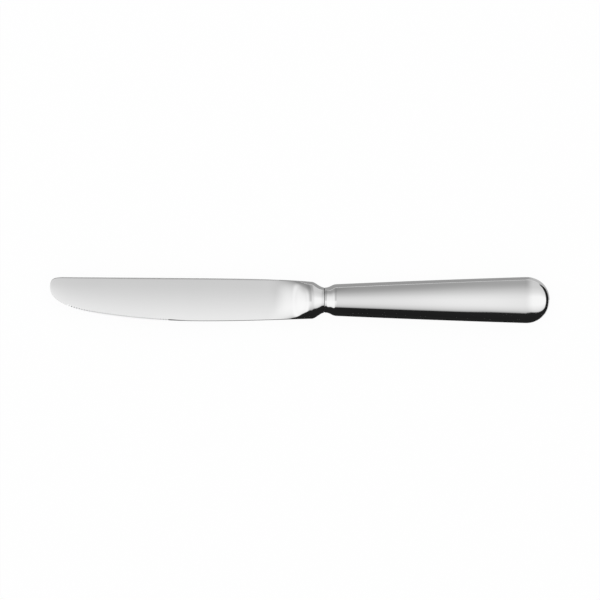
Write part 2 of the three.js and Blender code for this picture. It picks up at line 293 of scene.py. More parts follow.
def settle(piece):
    """Turns what the piece's modifiers make into its plain mesh."""
    graph = bpy.context.evaluated_depsgraph_get()
    made = bpy.data.meshes.new_from_object(piece.evaluated_get(graph))
    piece.modifiers.clear()
    piece.data = made
    made.name = piece.name
    made.shade_smooth()
    made.set_sharp_from_angle(angle=CREASE)


def seat(piece, node, material):
    """Puts the finished piece in the place of its CAD node."""
    piece.data.materials.clear()
    piece.data.materials.append(material)
    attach(piece, "root")
    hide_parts(node)


# Blade

def bezier(points):
    t = np.linspace(0, 1, RAIL_STEPS)[:, None]
    a, b, c, d = (np.array(point) for point in points)
    return a * (1 - t) ** 3 + 3 * b * t * (1 - t) ** 2 + 3 * c * t * t * (1 - t) + d * t ** 3


class Rail:
    """A path of cubic curves, with its points found by their share of its length."""

    def __init__(self, *curves):
        self.points = np.vstack([bezier(curve) for curve in curves])
        steps = np.linalg.norm(np.diff(self.points, axis=0), axis=1)
        self.runs = np.concatenate([[0], np.cumsum(steps)])
        self.length = self.runs[-1]

    def at(self, place):
        run = place * self.length
        return np.array([np.interp(run, self.runs, self.points[:, axis]) for axis in (0, 1)])


def share_points(shares, start, run, height):
    return [(-start - run * along, height * up) for along, up in shares]


def blade_rails(blade):
    """The spine and the cutting edge, from the joint to the tip."""
    tip = (-blade.reach, blade.tip_height)
    corner = (blade.tip_corner_run - blade.reach, blade.spine_height)
    leave, arrive = TIP_CORNER_SHARES
    spine = Rail(
        [*share_points(SPINE_SHARES, 0, blade.reach, blade.spine_height), corner],
        [
            corner,
            (corner[0] - blade.tip_corner_run * leave, blade.spine_height),
            (-blade.reach, mix(blade.tip_height, blade.spine_height, arrive)),
            tip,
        ],
    )
    heel_run = blade.reach - blade.belly_run
    heel = share_points(HEEL_SHARES, 0, heel_run, -blade.edge_depth)
    belly = share_points(BELLY_SHARES, heel_run, blade.belly_run, -blade.edge_depth)
    edge = Rail([*heel, belly[0]], belly[:4], [*belly[3:], tip])
    return spine, edge


def rib_places(spine, blade, neck):
    """Shares of the rails' length at which the ribs stand, from the tip to the joint."""
    spans = (
        (neck.lip / spine.length, LIP_STEPS),
        (neck.groove / spine.length, NECK_STEPS),
        (neck.collar_start / spine.length, COLLAR_STEPS),
        (neck.ramp_start / spine.length, RAMP_STEPS),
        (1 - 2 * blade.tip_corner_run / spine.length, BLADE_STEPS),
        (1, TIP_STEPS),
    )
    places = [np.zeros(1)]
    for end, steps in spans:
        places.append(np.linspace(places[-1][-1], end, steps + 1)[1:])
    return np.concatenate(places)[::-1]


def swell_at(x, neck):
    """Share of the bolster's round section: 0 on the blade and 1 from the crest to the joint."""
    ramp = soft_step(x, -neck.ramp_start, -neck.crest)
    collar = soft_step(x, -neck.collar_start, -neck.crest)
    return mix(ramp, collar, neck.collar_share)


def rib(top, bottom, from_tip, blade, neck):
    """One closed ring, from the spine over the upper flank to the edge and back below."""
    span = np.linalg.norm(top - bottom)
    relief = RELIEF_SHARE * span
    grind = (blade.spine_thickness - blade.edge_thickness) / 2
    grind /= blade.spine_height + blade.edge_depth
    thickness = mix(blade.edge_thickness, blade.plain_thickness,
                    smoothstep(from_tip - blade.plain_tip - blade.toothed_run, 0, blade.teeth_fade))
    edge_half = thickness / 2 + blade.tip_share * grind * max(0, blade.tip_span - span)
    rounding = min(blade.spine_rounding, relief, RELIEF_SHARE * (edge_half + grind * span))
    bevel = min((thickness - blade.edge_land) / 2 / math.tan(blade.bevel_tilt), relief)
    full_bevel = blade.plain_tip + 2 * blade.tooth_pitch
    bevel *= mix(TIP_BEVEL_SHARE, 1, smoothstep(from_tip, blade.plain_tip, full_bevel))
    land_half = edge_half - bevel * math.tan(blade.bevel_tilt)

    def flank(from_edge):
        return edge_half + grind * from_edge

    turns, places, heights = [0], [span], [0]
    spine_flank = flank(span - rounding)
    for turn in np.linspace(0, 1, SPINE_STEPS + 1):
        turns.append(mix(SPINE_SIDE_TURN, SPINE_TURN, turn))
        places.append(span - rounding + rounding * math.cos(turn * math.pi / 2))
        heights.append(spine_flank - rounding + rounding * math.sin(turn * math.pi / 2))
    first = math.cos(math.radians(SPINE_TURN))
    for turn in np.linspace(SPINE_TURN, BEVEL_TURN, FLANK_STEPS + 1)[1:]:
        along = (1 + math.cos(math.radians(turn)) / first) / 2
        from_edge = mix(bevel, span - rounding, along)
        turns.append(turn)
        places.append(from_edge)
        heights.append(flank(from_edge) + PEAK * blade.crown_share * span * along * (1 - along))
    for step in range(1, BEVEL_STEPS + 1):
        turns.append(mix(BEVEL_TURN, EDGE_TURN, step / BEVEL_STEPS))
        places.append(mix(bevel, 0, step / BEVEL_STEPS))
        heights.append(mix(flank(bevel), land_half, step / BEVEL_STEPS))
    turns.append(180)
    places.append(0)
    heights.append(0)

    turns = np.radians(turns)
    swell = swell_at((top[0] + bottom[0]) / 2, neck)
    open_up = soft_step(neck.waist - bottom[0], 0, neck.waist + neck.crest_end)
    round_half = mix(neck.thickness, neck.bolster_thickness, open_up) / 2
    flat_share = np.array(places) / span if span > 0 else np.zeros(len(places))
    shares = mix(flat_share, (1 + np.cos(turns)) / 2, swell)
    rise = mix(np.array(heights), round_half * np.sin(turns), swell)
    upper = np.column_stack([mix(bottom[None], top[None], shares[:, None]), rise])
    lower = upper[-2:0:-1] * (1, 1, -1)
    return np.vstack([upper, lower])


def lip_drop(distance, neck):
    """How far the steel's surface drops in the round beside the joint."""
    left = max(0, 1 - distance / neck.lip)
    return neck.lip * (1 - math.sqrt(1 - left * left))


def tang_outline(tang):
    """Half widths along the tang, with its notches and the chamfers at its end."""
    def half_at(x):
        return mix(tang.root_width, tang.end_width, x / tang.reach) / 2

    outline = [(tang.spigot_reach, half_at(tang.spigot_reach))]
    pitch = (tang.reach - tang.spigot_reach) / (tang.notches + 1)
    slope = tang.notch_depth / 2
    for notch in range(1, tang.notches + 1):
        middle = tang.spigot_reach + pitch * notch
        for side in (-1, 1):
            floor = (middle + side * tang.notch_width / 2, half_at(middle) - tang.notch_depth)
            rim_x = floor[0] + side * slope
            rim = (rim_x, half_at(rim_x))
            outline += [rim, floor] if side < 0 else [floor, rim]
    outline.append((tang.reach - tang.point, half_at(tang.reach - tang.point)))
    outline.append((tang.reach, half_at(tang.reach) - tang.point / 2))
    return outline


def tang_rings(turns, neck, tang):
    """Rings that carry the skin on from the neck over the spigot and the flat tang."""
    across, up = np.cos(turns), np.sin(turns)
    spigot = np.column_stack([
        (neck.width / 2 - tang.spigot_inset) * across,
        (neck.thickness / 2 - tang.spigot_inset) * up,
    ])
    rings = [(0, spigot), (tang.spigot_reach, spigot)]
    for x, half_width in tang_outline(tang):
        half_thickness = tang.thickness / 2
        reach = 1 / np.maximum(np.abs(across) / half_width, np.abs(up) / half_thickness)
        rings.append((x, np.column_stack([across * reach, up * reach])))
    return [np.column_stack([np.full(len(turns), x), section]) for x, section in rings]


def blade_body(blade, neck, tang):
    """Blade, its half of the neck and its tang in one closed skin, with the toothed edge marked."""
    spine, edge = blade_rails(blade)
    places = rib_places(spine, blade, neck)
    points = [np.array([[-blade.reach, blade.tip_height, 0]])]
    marks = [False]
    for place in places[1:]:
        top, bottom = spine.at(place), edge.at(place)
        for point, side in ((top, 1), (bottom, -1)):
            open_up = smoothstep(neck.waist - point[0], 0, neck.waist + neck.groove)
            point[1] = mix(side * neck.width / 2, point[1], open_up)
        from_tip = (1 - place) * edge.length
        ring = rib(top, bottom, from_tip, blade, neck)
        ring[:, 1:] *= 1 - lip_drop(-top[0], neck) / (neck.width / 2)
        toothed = blade.plain_tip <= from_tip <= blade.plain_tip + blade.toothed_run
        points.append(ring)
        marks += [toothed and k == len(ring) // 2 for k in range(len(ring))]
    count = len(points[-1])
    turns = np.linspace(0, 2 * math.pi, count, endpoint=False)
    points += tang_rings(turns, neck, tang)
    marks += [False] * (sum(len(ring) for ring in points) - len(marks))
    last = 1 + (len(points) - 2) * count
    faces = [tuple(range(last, last + count))]
    for k in range(count):
        after = (k + 1) % count
        faces.append((0, 1 + after, 1 + k))
        for start in range(1, last, count):
            ahead = start + count
            faces.append((start + k, start + after, ahead + after, ahead + k))
    piece = new_object("blade_forging", np.vstack(points) + JOINT, faces)
    layer = piece.data.attributes.new("toothed_edge", "BOOLEAN", "POINT")
    layer.data.foreach_set("value", marks)
    return piece


def tooth_tree():
    """Cuts round gullets at an even pitch along the marked edge."""
    tree = bpy.data.node_groups.new("saw teeth", "GeometryNodeTree")
    add_sockets(tree, "INPUT", "Geometry", "Geometry")
    add_sockets(tree, "INPUT", "Float", "Pitch", "Depth", "Gullet Share", "Cutter Length")
    add_sockets(tree, "INPUT", "Material", "Steel")
    add_sockets(tree, "OUTPUT", "Geometry", "Geometry")
    given = tree.nodes.new("NodeGroupInput").outputs
    marked = add_node(tree, "GeometryNodeInputNamedAttribute", {"Name": "toothed_edge"},
                      data_type="BOOLEAN")
    line = add_node(tree, "GeometryNodeMeshToCurve",
                    {"Mesh": given["Geometry"], "Selection": marked})
    spots = add_node(tree, "GeometryNodeCurveToPoints", {"Curve": line, "Length": given["Pitch"]},
                     mode="LENGTH")
    turned = add_node(tree, "FunctionNodeAlignRotationToVector",
                      {"Vector": spots.node.outputs["Tangent"]}, axis="X", pivot_axis="Z")
    rod = add_node(tree, "GeometryNodeMeshCylinder", {
        "Vertices": GULLET_SIDES,
        "Radius": 1,
        "Depth": given["Cutter Length"],
    })
    width = add_node(tree, MATH, {0: given["Pitch"], 1: given["Gullet Share"]},
                     operation="MULTIPLY")
    half = add_node(tree, MATH, {0: width, 1: 0.5}, operation="MULTIPLY")
    oval = add_node(tree, "ShaderNodeCombineXYZ", {"X": half, "Y": given["Depth"], "Z": 1})
    cutters = add_node(tree, "GeometryNodeInstanceOnPoints",
                       {"Points": spots, "Instance": rod, "Rotation": turned, "Scale": oval})
    solid = add_node(tree, "GeometryNodeRealizeInstances", {"Geometry": cutters})
    cut = add_node(tree, "GeometryNodeMeshBoolean", {"Mesh 1": given["Geometry"], "Mesh 2": solid},
                   operation="DIFFERENCE", solver="EXACT")
    whole = add_node(tree, "GeometryNodeRealizeInstances", {"Geometry": cut})
    done = add_node(tree, "GeometryNodeSetMaterial",
                    {"Geometry": whole, "Material": given["Steel"]})
    add_node(tree, "NodeGroupOutput", {"Geometry": done})
    return tree


# Handle

SECTION_SIZES = (
    "Mouth", "Reach", "Butt Run", "Butt Power", "Front Width", "Rear Width", "Bow",
    "Front Thickness", "Rear Thickness", "Neck Width", "Neck Thickness", "Groove", "Waist", "Lip",
)
SHELL_SIZES = (*SECTION_SIZES, "Wall", "Seam", "Side")


def section_tree():
    """Half width and half thickness of the handle at a share of the way along it."""
    tree = bpy.data.node_groups.new("handle section", "GeometryNodeTree")
    add_sockets(tree, "INPUT", "Float", "Along", "Inset", *SECTION_SIZES)
    add_sockets(tree, "OUTPUT", "Float", "Station", "Half Width", "Half Thickness")
    given = tree.nodes.new("NodeGroupInput").outputs
    straight = add_node(tree, MATH, {0: given["Reach"], 1: given["Butt Run"]}, operation="SUBTRACT")

    # Along the taper and then round the butt, where the turn goes from 0 to a quarter
    way = add_node(tree, MAP_RANGE, {"Value": given["Along"], "From Max": 1 - BUTT_SHARE})
    crowded = add_node(tree, MATH, {0: way, 1: CROWDING}, operation="POWER")
    run = add_node(tree, MAP_RANGE,
                   {"Value": crowded, "To Min": given["Mouth"], "To Max": straight})
    turn = add_node(tree, MAP_RANGE,
                    {"Value": given["Along"], "From Min": 1 - BUTT_SHARE, "To Max": math.pi / 2})
    power = add_node(tree, MATH, {0: 2, 1: given["Butt Power"]}, operation="DIVIDE")
    sine = add_node(tree, MATH, {0: turn}, operation="SINE")
    cosine = add_node(tree, MATH, {0: turn}, operation="COSINE")
    advance = add_node(tree, MATH, {0: sine, 1: power}, operation="POWER")
    shrink = add_node(tree, MATH, {0: cosine, 1: power}, operation="POWER")
    cap = add_node(tree, MATH, {0: given["Butt Run"], 1: given["Inset"]}, operation="SUBTRACT")
    station = add_node(tree, MATH, {0: cap, 1: advance, 2: run}, operation="MULTIPLY_ADD")

    # Tapered width with its bow, and tapered thickness
    taper = add_node(tree, MATH, {0: station, 1: straight}, operation="DIVIDE")
    rest = add_node(tree, MATH, {0: 1, 1: taper}, operation="SUBTRACT")
    hump = add_node(tree, MATH, {0: taper, 1: rest}, operation="MULTIPLY")
    bulge = add_node(tree, MATH, {0: hump, 1: PEAK}, operation="MULTIPLY")
    plain = add_node(tree, MAP_RANGE, {
        "Value": taper, "To Min": given["Front Width"], "To Max": given["Rear Width"],
    }, clamp=False)
    width = add_node(tree, MATH, {0: bulge, 1: given["Bow"], 2: plain}, operation="MULTIPLY_ADD")
    thickness = add_node(tree, MAP_RANGE, {
        "Value": taper, "To Min": given["Front Thickness"], "To Max": given["Rear Thickness"],
    }, clamp=False)

    # Round of the lip at the mouth
    lip_end = add_node(tree, MATH, {0: given["Mouth"], 1: given["Lip"]})
    left = add_node(tree, MAP_RANGE, {
        "Value": station, "From Min": given["Mouth"], "From Max": lip_end, "To Min": 1, "To Max": 0,
    })
    square = add_node(tree, MATH, {0: left, 1: left}, operation="MULTIPLY")
    remainder = add_node(tree, MATH, {0: 1, 1: square}, operation="SUBTRACT")
    root = add_node(tree, MATH, {0: remainder}, operation="SQRT")
    drop_share = add_node(tree, MATH, {0: 1, 1: root}, operation="SUBTRACT")
    lowered = add_node(tree, MATH, {0: drop_share, 1: given["Lip"], 2: given["Inset"]},
                       operation="MULTIPLY_ADD")

    # Drawn in to the waist, set in by the inset and closed at the butt
    from_waist = add_node(tree, MATH, {0: station, 1: given["Waist"]}, operation="SUBTRACT")
    distance = add_node(tree, MATH, {0: from_waist}, operation="ABSOLUTE")
    draw = add_node(tree, MATH, {0: given["Groove"], 1: given["Waist"]}, operation="SUBTRACT")
    halves = []
    for size, neck_size in ((width, "Neck Width"), (thickness, "Neck Thickness")):
        drawn = add_node(tree, MAP_RANGE, {
            "Value": distance, "From Max": draw, "To Min": given[neck_size], "To Max": size,
        }, interpolation_type="SMOOTHERSTEP")
        half = add_node(tree, MATH, {0: drawn, 1: 0.5}, operation="MULTIPLY")
        inner = add_node(tree, MATH, {0: half, 1: lowered}, operation="SUBTRACT")
        halves.append(add_node(tree, MATH, {0: inner, 1: shrink}, operation="MULTIPLY"))
    add_node(tree, "NodeGroupOutput",
             {"Station": station, "Half Width": halves[0], "Half Thickness": halves[1]})
    return tree


def handle_tree(name, corners_along, corners_round):
    """Starts a tree that bends a divided cube; gives it, its inputs, the cube and its shares."""
    tree = bpy.data.node_groups.new(name, "GeometryNodeTree")
    add_sockets(tree, "INPUT", "Geometry", "Geometry")
    add_sockets(tree, "INPUT", "Float", *SHELL_SIZES)
    add_sockets(tree, "INPUT", "Vector", "Joint")
    add_sockets(tree, "INPUT", "Material", "Metal")
    add_sockets(tree, "OUTPUT", "Geometry", "Geometry")
    given = tree.nodes.new("NodeGroupInput").outputs
    cube = add_node(tree, "GeometryNodeMeshCube", {
        "Size": (1, 1, 1), "Vertices X": corners_along, "Vertices Y": corners_round,
        "Vertices Z": STRAIGHT,
    })
    place = add_node(tree, "GeometryNodeInputPosition")
    shares = add_node(tree, "ShaderNodeVectorMath", {0: place, 1: (0.5, 0.5, 0.5)})
    split = add_node(tree, "ShaderNodeSeparateXYZ", {"Vector": shares}).node.outputs
    return tree, given, cube, split


def add_section(tree, section, given, along, inset):
    inputs = {name: given[name] for name in SECTION_SIZES}
    return add_node(tree, "GeometryNodeGroup", {"Along": along, "Inset": inset, **inputs},
                    node_tree=section).node.outputs


def close_tree(tree, given, cube, bent, turned_over):
    """Moves the cube's points, turns the faces out and sets the metal."""
    spot = add_node(tree, "ShaderNodeVectorMath", {0: bent, 1: given["Joint"]})
    moved = add_node(tree, "GeometryNodeSetPosition", {"Geometry": cube, "Position": spot})
    merged = add_node(tree, "GeometryNodeMergeByDistance", {"Geometry": moved, "Distance": TINY})
    outward = add_node(tree, "GeometryNodeFlipFaces", {"Mesh": merged, "Selection": turned_over})
    whole = add_node(tree, "GeometryNodeRealizeInstances", {"Geometry": outward})
    done = add_node(tree, "GeometryNodeSetMaterial",
                    {"Geometry": whole, "Material": given["Metal"]})
    add_node(tree, "NodeGroupOutput", {"Geometry": done})


def shell_tree(section):
    """Half shell: the cube's length runs along it, its breadth round it, its height inwards."""
    tree, given, cube, cube_shares = handle_tree("handle half shell", HANDLE_STEPS, ROUND_STEPS + 1)
    inward = add_node(tree, MATH, {0: 1, 1: cube_shares["Z"]}, operation="SUBTRACT")
    inset = add_node(tree, MATH, {0: inward, 1: given["Wall"]}, operation="MULTIPLY")
    sizes = add_section(tree, section, given, cube_shares["X"], inset)
    turn = add_node(tree, MATH, {0: cube_shares["Y"], 1: math.pi}, operation="MULTIPLY")
    sine = add_node(tree, MATH, {0: turn}, operation="SINE")
    cosine = add_node(tree, MATH, {0: turn}, operation="COSINE")
    across = add_node(tree, MATH, {0: cosine, 1: sizes["Half Width"]}, operation="MULTIPLY")
    outwards = add_node(tree, MATH, {0: across, 1: -1}, operation="MULTIPLY")
    seam_half = add_node(tree, MATH, {0: given["Seam"], 1: 0.5}, operation="MULTIPLY")
    above = add_node(tree, MATH, {0: sizes["Half Thickness"], 1: seam_half}, operation="SUBTRACT")
    room = add_node(tree, MATH, {0: above, 1: 0}, operation="MAXIMUM")
    rise = add_node(tree, MATH, {0: room, 1: sine, 2: seam_half}, operation="MULTIPLY_ADD")
    height = add_node(tree, MATH, {0: rise, 1: given["Side"]}, operation="MULTIPLY")
    bent = add_node(tree, "ShaderNodeCombineXYZ",
                    {"X": sizes["Station"], "Y": outwards, "Z": height})
    lower = add_node(tree, MATH, {0: given["Side"], 1: 0}, operation="LESS_THAN")
    close_tree(tree, given, cube, bent, lower)
    return tree


def braze_tree(section):
    """Strip of braze: the cube's length runs up one side, round the butt and down the other."""
    tree, given, cube, cube_shares = handle_tree("seam braze strip", 2 * HANDLE_STEPS - 1, STRAIGHT)
    signed = add_node(tree, MAP_RANGE, {"Value": cube_shares["X"], "To Min": -1})
    distance = add_node(tree, MATH, {0: signed}, operation="ABSOLUTE")
    along = add_node(tree, MATH, {0: 1, 1: distance}, operation="SUBTRACT")
    inset = add_node(tree, MATH, {0: cube_shares["Y"], 1: given["Wall"]}, operation="MULTIPLY")
    sizes = add_section(tree, section, given, along, inset)
    side = add_node(tree, MATH, {0: signed}, operation="SIGN")
    across = add_node(tree, MATH, {0: side, 1: sizes["Half Width"]}, operation="MULTIPLY")
    level = add_node(tree, MATH, {0: cube_shares["Z"], 1: 0.5}, operation="SUBTRACT")
    height = add_node(tree, MATH, {0: level, 1: given["Seam"]}, operation="MULTIPLY")
    bent = add_node(tree, "ShaderNodeCombineXYZ", {"X": sizes["Station"], "Y": across, "Z": height})
    close_tree(tree, given, cube, bent, False)
    return tree


def handle_piece(name, tree, side, metal):
    scene = bpy.context.scene
    neck, handle = scene.knife_neck, scene.knife_handle
    piece = new_object(name, [], [])
    modifier = piece.modifiers.new("form", "NODES")
    modifier.node_group = tree
    set_inputs(modifier, neck_width=neck.width, neck_thickness=neck.thickness, waist=neck.waist,
               lip=neck.lip, side=side, joint=tuple(JOINT), metal=metal,
               **{size: getattr(handle, size) for size in DessertKnifeHandle.__annotations__})
    settle(piece)
    return piece


# Materials

LINE_STRETCH = (0.025, 1, 1)       # draws the polishing lines out along the knife
WEAR_PATCH = 30 * MM               # size of the patches that handling has dulled
WEAR_RANGE = (0.35, 0.65)          # part of the noise that these patches use
WEAR_SHARE = 0.3                   # of the roughness, up and down
BRAZE_PITS = 0.4 * MM
BRAZE_ROUGHNESS = (0.18, 0.4)
SAND_SIZE = 0.25 * MM
SAND_DETAIL = 4
SAND_RELIEF = 0.05 * MM
CEMENT_ROUGHNESS = 0.85


def new_material(name):
    material = bpy.data.materials.new(name)
    material.use_nodes = True
    material.node_tree.nodes.clear()
    return material, material.node_tree


def polished_steel(name, hex_colour, line_gap, line_depth, roughness):
    """Stainless steel, buffed along its length: a mirror with faint polishing lines."""
    material, tree = new_material(name)
    place = add_node(tree, "ShaderNodeTexCoord").node.outputs["Object"]
    # Real lines are finer than 0.1 mm, and these are drawn as coarse as they have to be to show
    stretched = add_node(tree, "ShaderNodeMapping", {"Vector": place, "Scale": LINE_STRETCH})
    lines = add_node(tree, "ShaderNodeTexNoise", {"Vector": stretched, "Scale": 1 / line_gap})
    handling = add_node(tree, "ShaderNodeTexNoise", {"Vector": place, "Scale": 1 / WEAR_PATCH})
    worn = add_node(tree, MAP_RANGE, {
        "Value": handling, "From Min": WEAR_RANGE[0], "From Max": WEAR_RANGE[1],
        "To Min": roughness * (1 - WEAR_SHARE), "To Max": roughness * (1 + WEAR_SHARE),
    })
    bump = add_node(tree, "ShaderNodeBump",
                    {"Height": lines, "Strength": 1, "Distance": line_depth})
    shader = add_node(tree, "ShaderNodeBsdfPrincipled", {
        "Base Color": linear(hex_colour), "Metallic": 1, "Roughness": worn, "Normal": bump,
    })
    add_node(tree, "ShaderNodeOutputMaterial", {"Surface": shader})
    return material


def ground_braze(hex_colour):
    """Silver braze, ground flush and polished: warmer and duller than the steel beside it."""
    material, tree = new_material("ground silver braze")
    place = add_node(tree, "ShaderNodeTexCoord").node.outputs["Object"]
    pits = add_node(tree, "ShaderNodeTexNoise", {"Vector": place, "Scale": 1 / BRAZE_PITS})
    smooth, rough = BRAZE_ROUGHNESS
    pitted = add_node(tree, MAP_RANGE, {"Value": pits, "To Min": smooth, "To Max": rough})
    shader = add_node(tree, "ShaderNodeBsdfPrincipled", {
        "Base Color": linear(hex_colour), "Metallic": 1, "Roughness": pitted,
    })
    add_node(tree, "ShaderNodeOutputMaterial", {"Surface": shader})
    return material


def cast_cement(hex_dark, hex_light):
    """Cutler's cement, cast hot with sand in it: a dull, dark, grainy fill."""
    material, tree = new_material("cast cutlers cement")
    place = add_node(tree, "ShaderNodeTexCoord").node.outputs["Object"]
    sand = add_node(tree, "ShaderNodeTexNoise",
                    {"Vector": place, "Scale": 1 / SAND_SIZE, "Detail": SAND_DETAIL})
    colour = add_node(tree, "ShaderNodeMix", {
        0: sand, MIX_FIRST: linear(hex_dark), MIX_SECOND: linear(hex_light),
    }, data_type="RGBA").node.outputs[MIX_COLOUR]
    bump = add_node(tree, "ShaderNodeBump", {"Height": sand, "Distance": SAND_RELIEF})
    shader = add_node(tree, "ShaderNodeBsdfPrincipled", {
        "Base Color": colour, "Roughness": CEMENT_ROUGHNESS, "Normal": bump,
    })
    add_node(tree, "ShaderNodeOutputMaterial", {"Surface": shader})
    return material


# Studio

# Tones that the light tent paints into the steel as reflections, by the angle from straight above
# towards the spine's side, in degrees; on the edge's side they fall to a painted dark band in place
# of a flag
HANDLE_TENT = (
    (-90, "1E1E1E"), (-47, "202020"), (-45.2, "7A7A7A"), (-44, "A4A4A4"), (-39, "C2C2C2"),
    (-35, "CECECE"), (-31, "D6D6D6"), (-27, "DCDCDC"), (-20, "E4E4E4"), (-11, "E7E7E7"),
    (0, "E7E7E7"), (13, "DEDEDE"), (20, "D5D5D5"), (27, "CBCBCB"), (34, "C2C2C2"),
    (43, "B4B4B4"), (53, "A8A8A8"), (65, "A0A0A0"), (80, "9F9F9F"), (90, "A4A4A4"),
)
BLADE_TENT = (
    (-90, "1E1E1E"), (-47, "202020"), (-45.2, "7A7A7A"), (-44, "A4A4A4"), (-39, "C2C2C2"),
    (-30, "D8D8D8"), (-20, "E6E6E6"), (-9.7, "EBEBEB"), (-7.7, "E9E9E9"), (-5.2, "DBDBDB"),
    (-2.7, "CBCBCB"), (2, "C5C5C5"), (8, "C0C0C0"), (20, "B8B8B8"), (43, "A0A0A0"),
    (53, "8E8E8E"), (65, "868686"), (80, "868686"), (90, "909090"),
)
TIP_END_TENT = (
    (-90, "1E1E1E"), (-47, "202020"), (-45.2, "A0A0A0"), (-44, "F0F0F0"), (-30, "FAFAFA"),
    (-10, "F8F8F8"), (-3, "F6F6F6"), (4, "F2F2F2"), (11, "EEEEEE"), (18, "E8E8E8"),
    (22, "E1E1E1"), (27, "D7D7D7"), (36, "C3C3C3"), (44, "AAAAAA"), (52, "9C9C9C"), (90, "969696"),
)
BUTT_END_TENT = (
    (-90, "1E1E1E"), (-45, "202020"), (-43.4, "7A7A7A"), (-42, "D0D0D0"), (-30, "E8E8E8"),
    (-15, "F8F8F8"), (10, "F8F8F8"), (25, "E0E0E0"), (45, "D0D0D0"), (65, "D0D0D0"), (90, "CCCCCC"),
)
# Brightness along the handle's part of the tent, by metres from the origin
ALONG_TENT = (
    (-1, 1), (0.028, 0.9), (0.05, 0.93), (0.062, 0.95), (0.073, 0.98), (0.084, 1.01),
    (0.09, 1.02), (0.112, 1.02), (0.123, 0.97), (1, 1),
)
TENT_GAIN = 1.27                   # the steel gives back this part less
SWITCH_TENT = (-0.012, 0.006)      # where the blade's part of the tent gives way to the handle's
# How the tent's stripes spread towards its ends: share that the angle is read at, by metres
# from the origin along the knife
SPREAD_TENT = (
    (-1, 0.68), (-0.6, 0.76), (-0.45, 0.82), (-0.33, 0.89), (-0.2, 0.98), (-0.08, 1), (0.08, 1),
    (0.087, 1.02), (0.092, 1.07), (0.1, 1.07), (0.13, 1.04), (0.2, 1.08), (0.34, 1.09),
    (0.53, 0.96), (0.91, 0.66), (1, 0.62),
)
# Share of the bright ends, by metres from the origin along the knife
END_SHARE = (
    (-1, 1), (-0.85, 1), (-0.68, 0.85), (-0.5, 0.97), (-0.4, 0.88), (-0.35, 0.7), (-0.3, 0.52),
    (-0.25, 0.35), (-0.2, 0.18), (-0.14, 0.02), (-0.11, 0),
    (0.13, 0), (0.22, 0.2), (0.32, 0.6), (0.42, 0.85), (0.75, 0.9), (1, 0.9),
)
# Cards that lie on the floor and glow in their own tone, seen only in the steel as painted dark and
# grey reflections: tone, place in the pile, and corners by metres past the butt and metres from the
# long axis towards the spine
# Tone of the painted dark reflections that the cards give the steel
DARK_REFLECTION_CARD = "242424"
REFLECTION_CARDS = {
    "edge_side_card": (DARK_REFLECTION_CARD, 1, ((-1.2, -1), (-0.008, -1), (-0.008, 0), (-1.2, 0))),
    "far_edge_side_card": (DARK_REFLECTION_CARD, 1, (
        (-0.008, -1), (0.9, -1), (0.9, -0.004), (0.012, -0.004), (0.003, -0.0125),
        (-0.004, -0.0125), (-0.008, -0.0095),
    )),
    "spine_side_card": ("A7A7A7", 2, ((-0.405, 0), (-0.006, 0), (-0.006, 0.15), (-0.405, 0.15))),
    "butt_side_card": ("CCCCCC", 2, ((-0.006, 0), (0.195, 0), (0.195, 0.15), (-0.006, 0.15))),
    "butt_card": (DARK_REFLECTION_CARD, 3, ((0.012, -0.05), (0.595, -0.95), (0.595, 0.83), (0.012, 0.012))),
}
STANDING_CARD_CORNERS = ((-0.7, 0), (0.7, 0), (0.7, 0.1), (-0.7, 0.1))   # a card that stands across the knife's axis, a painted dark reflection seen only in the steel
STANDING_CARD_GAP = 0.595                   # from the butt to this standing card
PAPER_GLOW = 0.95                  # share of its own light that the paper shows
ROOM_LEVEL = 0.8                   # light that the white room gives
LAMP_SIZE = 0.8
LAMP_ENERGY = 1.6
LAMP_PLACE = (-0.15, 0.25, 0.9)
SENSOR_WIDTH = 36
CLIP_START = 0.01


def fill_ramp(ramp, stops, low, high):
    """Sets a ramp's stops, with places from low to high; a number stands for a grey."""
    elements = ramp.node.color_ramp.elements
    while len(elements) < len(stops):
        elements.new(1)
    for element, (place, shade) in zip(elements, stops):
        element.position = (place - low) / (high - low)
        element.color = linear(shade) if isinstance(shade, str) else (shade, shade, shade, 1)


def shine(material, tree, colour, strength):
    """Ends the material in plain light, which shows in the steel and lights nothing else."""
    glow = add_node(tree, "ShaderNodeEmission", {"Color": colour, "Strength": strength})
    add_node(tree, "ShaderNodeOutputMaterial", {"Surface": glow})
    material.cycles.emission_sampling = "NONE"
    return material


